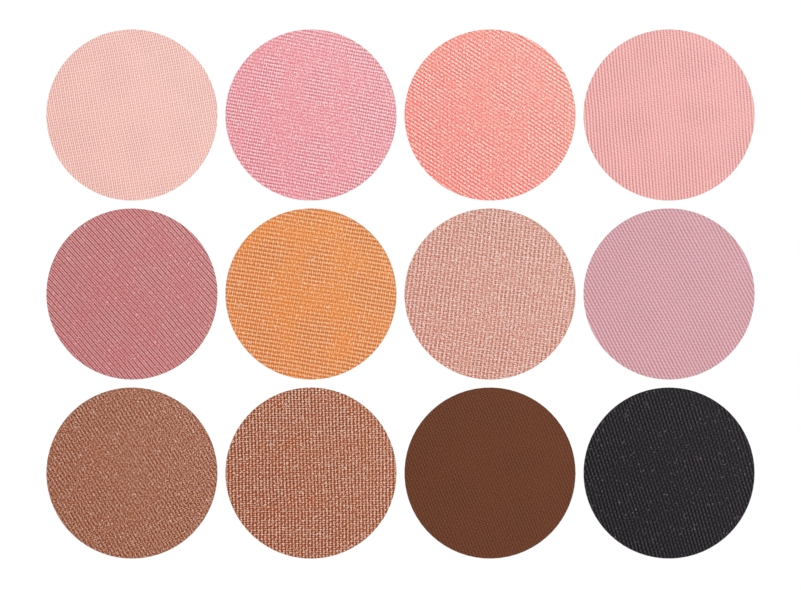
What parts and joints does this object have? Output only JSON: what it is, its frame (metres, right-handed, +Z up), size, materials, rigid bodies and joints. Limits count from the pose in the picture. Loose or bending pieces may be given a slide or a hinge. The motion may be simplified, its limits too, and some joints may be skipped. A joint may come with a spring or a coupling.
{
  "type": "eyeshadow palette",
  "caption": "Slim hinged white compact with round pressed eyeshadows in metal pans under a flat deck, a mirror in the lid and a push-button catch.",
  "frame": {"origin": "centre of the base's flat underside, on the table", "axes": "+Z up; +Y from the push button to the hinge; +X to the right of a person facing the open palette"},
  "size_m": [0.128, 0.151, 0.1013],
  "materials": {
    "case_plastic": "satin white moulded ABS",
    "deck_plastic": "smooth white moulded plastic",
    "tray_plastic": "plain moulded",
    "pan_aluminium": "drawn, lightly brushed",
    "steel": "drawn wire",
    "mirror_silver": "silvered glass",
    "foam_tape": "double-sided foam tape",
    "shade_peach": "matte pressed powder",
    "shade_pink_shimmer": "pearly pressed powder",
    "shade_coral_shimmer": "pearly pressed powder",
    "shade_soft_pink": "matte pressed powder",
    "shade_rose": "satin pressed powder",
    "shade_amber": "pearly pressed powder",
    "shade_rose_gold": "pearly pressed powder",
    "shade_lilac_pink": "matte pressed powder",
    "shade_bronze": "satin pressed powder",
    "shade_copper": "metallic pressed powder",
    "shade_chocolate": "matte pressed powder",
    "shade_charcoal": "matte pressed powder with fine sparkle"
  },
  "bodies": {
    "base": {"base_shell": "case_plastic", "well_tray": "tray_plastic", "adhesive_dots": "foam_tape", "deck_plate": "deck_plastic", "hinge_pin": "steel", "button_spring": "steel", "pan_peach": "pan_aluminium", "pan_pink_shimmer": "pan_aluminium", "pan_coral_shimmer": "pan_aluminium", "pan_soft_pink": "pan_aluminium", "pan_rose": "pan_aluminium", "pan_amber": "pan_aluminium", "pan_rose_gold": "pan_aluminium", "pan_lilac_pink": "pan_aluminium", "pan_bronze": "pan_aluminium", "pan_copper": "pan_aluminium", "pan_chocolate": "pan_aluminium", "pan_charcoal": "pan_aluminium", "powder_peach": "shade_peach", "powder_pink_shimmer": "shade_pink_shimmer", "powder_coral_shimmer": "shade_coral_shimmer", "powder_soft_pink": "shade_soft_pink", "powder_rose": "shade_rose", "powder_amber": "shade_amber", "powder_rose_gold": "shade_rose_gold", "powder_lilac_pink": "shade_lilac_pink", "powder_bronze": "shade_bronze", "powder_copper": "shade_copper", "powder_chocolate": "shade_chocolate", "powder_charcoal": "shade_charcoal"},
    "lid": {"lid_shell": "case_plastic", "mirror_bezel": "deck_plastic", "mirror_glass": "mirror_silver", "mirror_pad": "foam_tape"},
    "latch_button": {"latch_button": "case_plastic"}
  },
  "joints": [
    {"name": "lid_hinge", "type": "hinge", "parent": "base", "child": "lid", "pos_m": [0, 0.0499, 0.009], "axis": [1, 0, 0], "range_deg": [0, 115]},
    {"name": "button_press", "type": "slide", "parent": "base", "child": "latch_button", "axis": [0, 1, 0], "range_m": [0, 0.001], "stiffness_N_per_m": 800, "springref_m": -0.0005, "deforming": ["button_spring"]}
  ]
}
